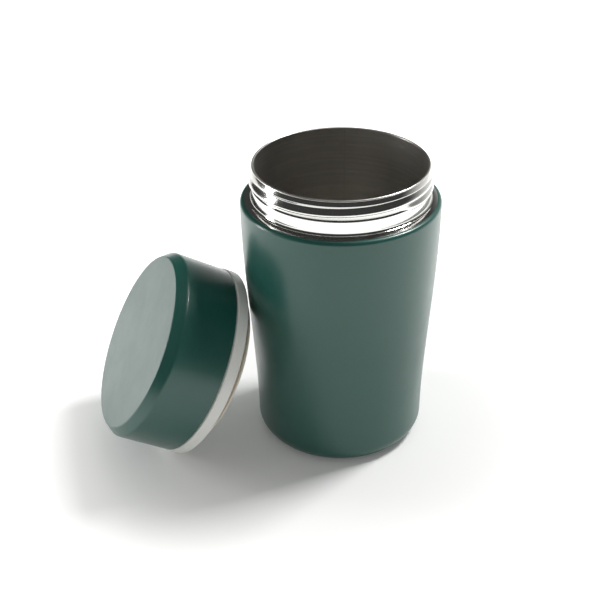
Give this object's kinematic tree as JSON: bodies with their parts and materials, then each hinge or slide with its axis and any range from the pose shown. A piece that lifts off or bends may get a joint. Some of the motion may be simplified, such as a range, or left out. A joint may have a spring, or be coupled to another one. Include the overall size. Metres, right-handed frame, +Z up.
{
  "type": "insulated food jar",
  "caption": "Vacuum-insulated wide-mouth food jar with a tapered coated body; its screw lid is off and leans on the jar's side.",
  "frame": {"origin": "centre of the jar's foot, on the surface that the jar stands on", "axes": "+Z up along the jar's axis; the lid leans on the -X side, turned a little towards -Y"},
  "size_m": [0.1707, 0.1123, 0.1461],
  "materials": {
    "coated_steel": "dark green satin powder coat",
    "polished_steel": "polished stainless steel",
    "liner_steel": "brushed stainless steel",
    "copper_foil": "thin bright copper foil",
    "getter_metal": "dull sintered metal",
    "brazing_metal": "brazing bead",
    "collar_plastic": "pale satin polypropylene",
    "silicone": "cream silicone",
    "foam": "light closed-cell foam"
  },
  "bodies": {
    "jar": {"outer_shell": "coated_steel", "outer_foot": "coated_steel", "threaded_neck": "polished_steel", "inner_liner": "liner_steel", "liner_base": "liner_steel", "radiation_foil": "copper_foil", "getter": "getter_metal", "getter_clip": "liner_steel", "base_plate": "liner_steel", "vacuum_seal": "brazing_metal", "base_cover": "coated_steel"},
    "gasket": {"lid_gasket": "silicone"},
    "lid": {"lid_cap": "coated_steel", "lid_collar": "collar_plastic", "lid_foam": "foam", "lid_stopper": "collar_plastic", "stopper_foam": "foam"}
  },
  "joints": [
    {"name": "lid_lift", "type": "slide", "parent": "jar", "child": "gasket", "axis": [-0.8399, -0.2377, 0.4879], "range_m": [0, 0.12]},
    {"name": "lid_turn", "type": "hinge", "parent": "gasket", "child": "lid", "pos_m": [-0.09963, -0.02019, 0.05916], "axis": [-0.8399, -0.2377, 0.4879], "range_deg": [0, 360]}
  ]
}
